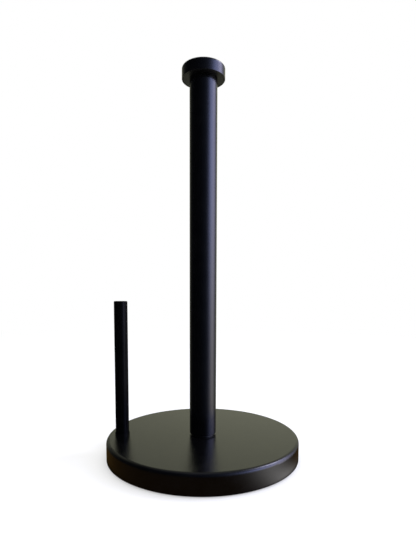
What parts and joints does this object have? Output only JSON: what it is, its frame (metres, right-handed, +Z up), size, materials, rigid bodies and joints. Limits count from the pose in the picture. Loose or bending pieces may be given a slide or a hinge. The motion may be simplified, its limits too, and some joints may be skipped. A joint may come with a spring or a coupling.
{
  "type": "paper towel holder",
  "caption": "Upright countertop holder for a paper towel roll: a weighted round base, a turning post with a screw-on cap, and a short side arm that steadies the roll.",
  "frame": {"origin": "middle of the footprint, on the surface the holder stands on", "axes": "+Z up along the post, -X towards the side arm, +Y to the back"},
  "size_m": [0.16, 0.16, 0.3138],
  "materials": {
    "black_coating": "satin black powder coating",
    "cast_weight": "rough cast, painted",
    "plate_steel": "matte black, pressed sheet",
    "zinc_steel": "zinc plated",
    "foot_rubber": "matte, grooved",
    "black_nylon": "matte moulded",
    "plain_steel": "turned"
  },
  "bodies": {
    "base": {"base_shell": "black_coating", "ballast_disc": "cast_weight", "base_plate": "plate_steel", "foot_ring": "foot_rubber", "plate_screws": "zinc_steel", "post_bush": "black_nylon", "arm_tube": "black_coating", "arm_foot_insert": "plain_steel", "arm_end_cap": "black_coating", "arm_screw": "zinc_steel", "arm_washer": "zinc_steel", "arm_lock_washer": "zinc_steel"},
    "post": {"post_tube": "black_coating", "post_foot_plug": "plain_steel", "post_bolt": "zinc_steel", "bolt_washer": "zinc_steel", "disc_spring": "plain_steel", "post_top_insert": "plain_steel"},
    "cap_rise": {"cap_washer": "black_nylon"},
    "cap": {"cap_shell": "black_coating", "cap_core": "black_nylon", "cap_stud": "zinc_steel"}
  },
  "joints": [
    {"name": "post_spin", "type": "hinge", "parent": "base", "child": "post", "pos_m": [0, 0, 0.0178], "axis": [0, 0, 1], "continuous": true},
    {"name": "cap_rise_slide", "type": "slide", "parent": "post", "child": "cap_rise", "axis": [0, 0, 1], "range_m": [0, 0.01001]},
    {"name": "cap_turn", "type": "hinge", "parent": "cap_rise", "child": "cap", "pos_m": [0, 0, 0.3045], "axis": [0, 0, 1], "range_deg": [0, 2880]}
  ],
  "couplings": [
    {"joint": "cap_rise_slide", "follows": "cap_turn", "m_per_rad": 0.00019894}
  ]
}
